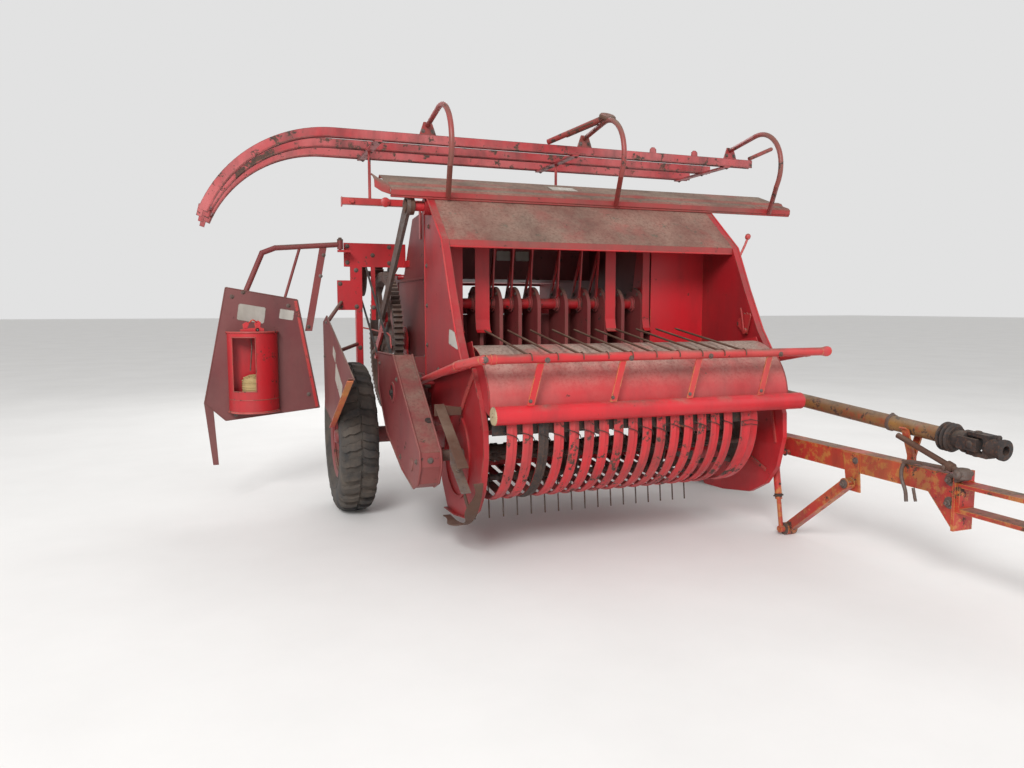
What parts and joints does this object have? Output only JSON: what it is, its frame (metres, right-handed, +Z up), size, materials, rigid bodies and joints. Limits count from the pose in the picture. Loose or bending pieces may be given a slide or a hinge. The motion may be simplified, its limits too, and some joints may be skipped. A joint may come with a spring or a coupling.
{
  "type": "square_baler",
  "caption": "Towed pick-up baler for small square bales, with swinging ram, hooded feed opening, side drawbar and its bale slide stored on top.",
  "frame": {"origin": "centre of the machine's box, on the ground", "axes": "+X to the machine's side with the drawbar, +Y from the drawbar towards the bale outlet, +Z up"},
  "size_m": [3.328, 3.9869, 2.1291],
  "materials": {
    "red_paint": "worn gloss",
    "dark_red_paint": "dull",
    "dusty_red_paint": "dull, dusty",
    "worn_steel": "worn",
    "rusty_steel": "rusted",
    "yellow_paint": "worn",
    "dark_iron": "matt",
    "tyre_rubber": "matt",
    "belt_rubber": "matt"
  },
  "bodies": {
    "root": {"main_frame": "dark_red_paint", "drawbar": "red_paint", "hitch_tongue": "red_paint", "shaft_cradle": "red_paint", "gearbox": "dark_red_paint", "hood_side_left": "red_paint", "hood_side_right": "red_paint", "hood_top": "dusty_red_paint", "feed_panel": "red_paint", "feed_strips": "red_paint", "chamber_wall_left": "dark_red_paint", "chamber_wall_right": "dark_red_paint", "chamber_floor": "worn_steel", "chamber_roof": "dark_red_paint", "knotters": "red_paint", "v_belt": "belt_rubber", "drive_bracket": "red_paint", "side_cover": "dark_red_paint", "slide_rails": "red_paint", "slide_hoops": "rusty_steel", "slide_board": "dusty_red_paint", "slide_support": "red_paint"},
    "wheel_left": {"wheel_left": "dark_red_paint", "tyre_left": "tyre_rubber"},
    "wheel_right": {"wheel_right": "dark_red_paint", "tyre_right": "tyre_rubber"},
    "pickup": {"pickup_side_left": "dark_red_paint", "pickup_side_right": "red_paint", "strippers": "red_paint", "apron": "dusty_red_paint", "drive_guard": "dark_red_paint"},
    "reel": {"pickup_reel": "worn_steel"},
    "crop_guard": {"crop_guard": "red_paint", "press_bar": "red_paint", "hold_down_rods": "rusty_steel"},
    "ram": {"ram_frame": "red_paint", "ram_plates": "dark_red_paint", "ram_lever": "worn_steel"},
    "main_gear": {"gear_wheel": "worn_steel"},
    "pitman": {"pitman": "red_paint"},
    "pinion": {"pinion_shaft": "worn_steel", "belt_pulley": "worn_steel"},
    "cross_shaft": {"cross_shaft": "worn_steel"},
    "needles": {"needle_yoke": "red_paint"},
    "flap": {"density_flap": "red_paint"},
    "drive_shaft": {"pto_shaft": "yellow_paint", "pto_yoke": "dark_iron"},
    "stand_leg": {"stand_leg": "red_paint"},
    "stand_strut": {"stand_strut": "red_paint"},
    "string_door": {"door_frame": "dark_red_paint", "door_panel": "dark_red_paint", "twine_can": "red_paint"}
  },
  "joints": [
    {"name": "wheel_left_spin", "type": "hinge", "parent": "root", "child": "wheel_left", "pos_m": [-0.908, 0.9465, 0.41], "axis": [1, 0, 0], "continuous": true},
    {"name": "wheel_right_spin", "type": "hinge", "parent": "root", "child": "wheel_right", "pos_m": [1.372, 0.9465, 0.41], "axis": [1, 0, 0], "continuous": true},
    {"name": "pickup_lift", "type": "hinge", "parent": "root", "child": "pickup", "pos_m": [0.202, 0.5765, 0.72], "axis": [1, 0, 0], "range_deg": [0, 10]},
    {"name": "reel_spin", "type": "hinge", "parent": "pickup", "child": "reel", "pos_m": [0.202, -0.0135, 0.455], "axis": [1, 0, 0], "continuous": true},
    {"name": "guard_lift", "type": "hinge", "parent": "pickup", "child": "crop_guard", "pos_m": [0.202, 0.4865, 0.737], "axis": [1, 0, 0], "range_deg": [-20, 0]},
    {"name": "ram_swing", "type": "hinge", "parent": "root", "child": "ram", "pos_m": [0.202, 0.3965, 1.61], "axis": [1, 0, 0], "range_deg": [0, 27]},
    {"name": "gear_spin", "type": "hinge", "parent": "root", "child": "main_gear", "pos_m": [-0.633, 1.2965, 0.92], "axis": [1, 0, 0], "continuous": true},
    {"name": "pitman_turn", "type": "hinge", "parent": "main_gear", "child": "pitman", "pos_m": [-0.671, 1.40463, 0.84604], "axis": [1, 0, 0], "continuous": true},
    {"name": "pinion_spin", "type": "hinge", "parent": "root", "child": "pinion", "pos_m": [-0.633, 1.5265, 1.32988], "axis": [1, 0, 0], "continuous": true},
    {"name": "cross_shaft_spin", "type": "hinge", "parent": "root", "child": "cross_shaft", "pos_m": [0.202, 0.5765, 0.72], "axis": [1, 0, 0], "continuous": true},
    {"name": "needle_swing", "type": "hinge", "parent": "root", "child": "needles", "pos_m": [0.202, 1.2965, 0.92], "axis": [1, 0, 0], "range_deg": [0, 98]},
    {"name": "flap_tilt", "type": "hinge", "parent": "root", "child": "flap", "pos_m": [0.075, 1.6715, 1.308], "axis": [1, 0, 0], "range_deg": [-8, 12]},
    {"name": "drive_shaft_spin", "type": "hinge", "parent": "root", "child": "drive_shaft", "pos_m": [1.127, 0.4325, 0.70962], "axis": [0, 0.9981, 0.0624], "continuous": true},
    {"name": "stand_fold", "type": "hinge", "parent": "root", "child": "stand_leg", "pos_m": [1.052, -0.6835, 0.335], "axis": [1, 0, 0], "range_deg": [0, 38]},
    {"name": "strut_fold", "type": "hinge", "parent": "stand_leg", "child": "stand_strut", "pos_m": [1.007, -0.3135, 0.03], "axis": [1, 0, 0], "range_deg": [0, 45.6]},
    {"name": "door_swing", "type": "hinge", "parent": "root", "child": "string_door", "pos_m": [-0.898, 1.2465, 1.48], "axis": [0, 0, 1], "range_deg": [-90, 0]}
  ],
  "couplings": [
    {"joint": "pitman_turn", "follows": "gear_spin", "ratio": -1},
    {"joint": "pinion_spin", "follows": "gear_spin", "ratio": -5.7143},
    {"joint": "cross_shaft_spin", "follows": "gear_spin", "ratio": -7.2727},
    {"joint": "drive_shaft_spin", "follows": "gear_spin", "ratio": 7.2727},
    {"joint": "strut_fold", "follows": "stand_fold", "ratio": 1.2}
  ]
}
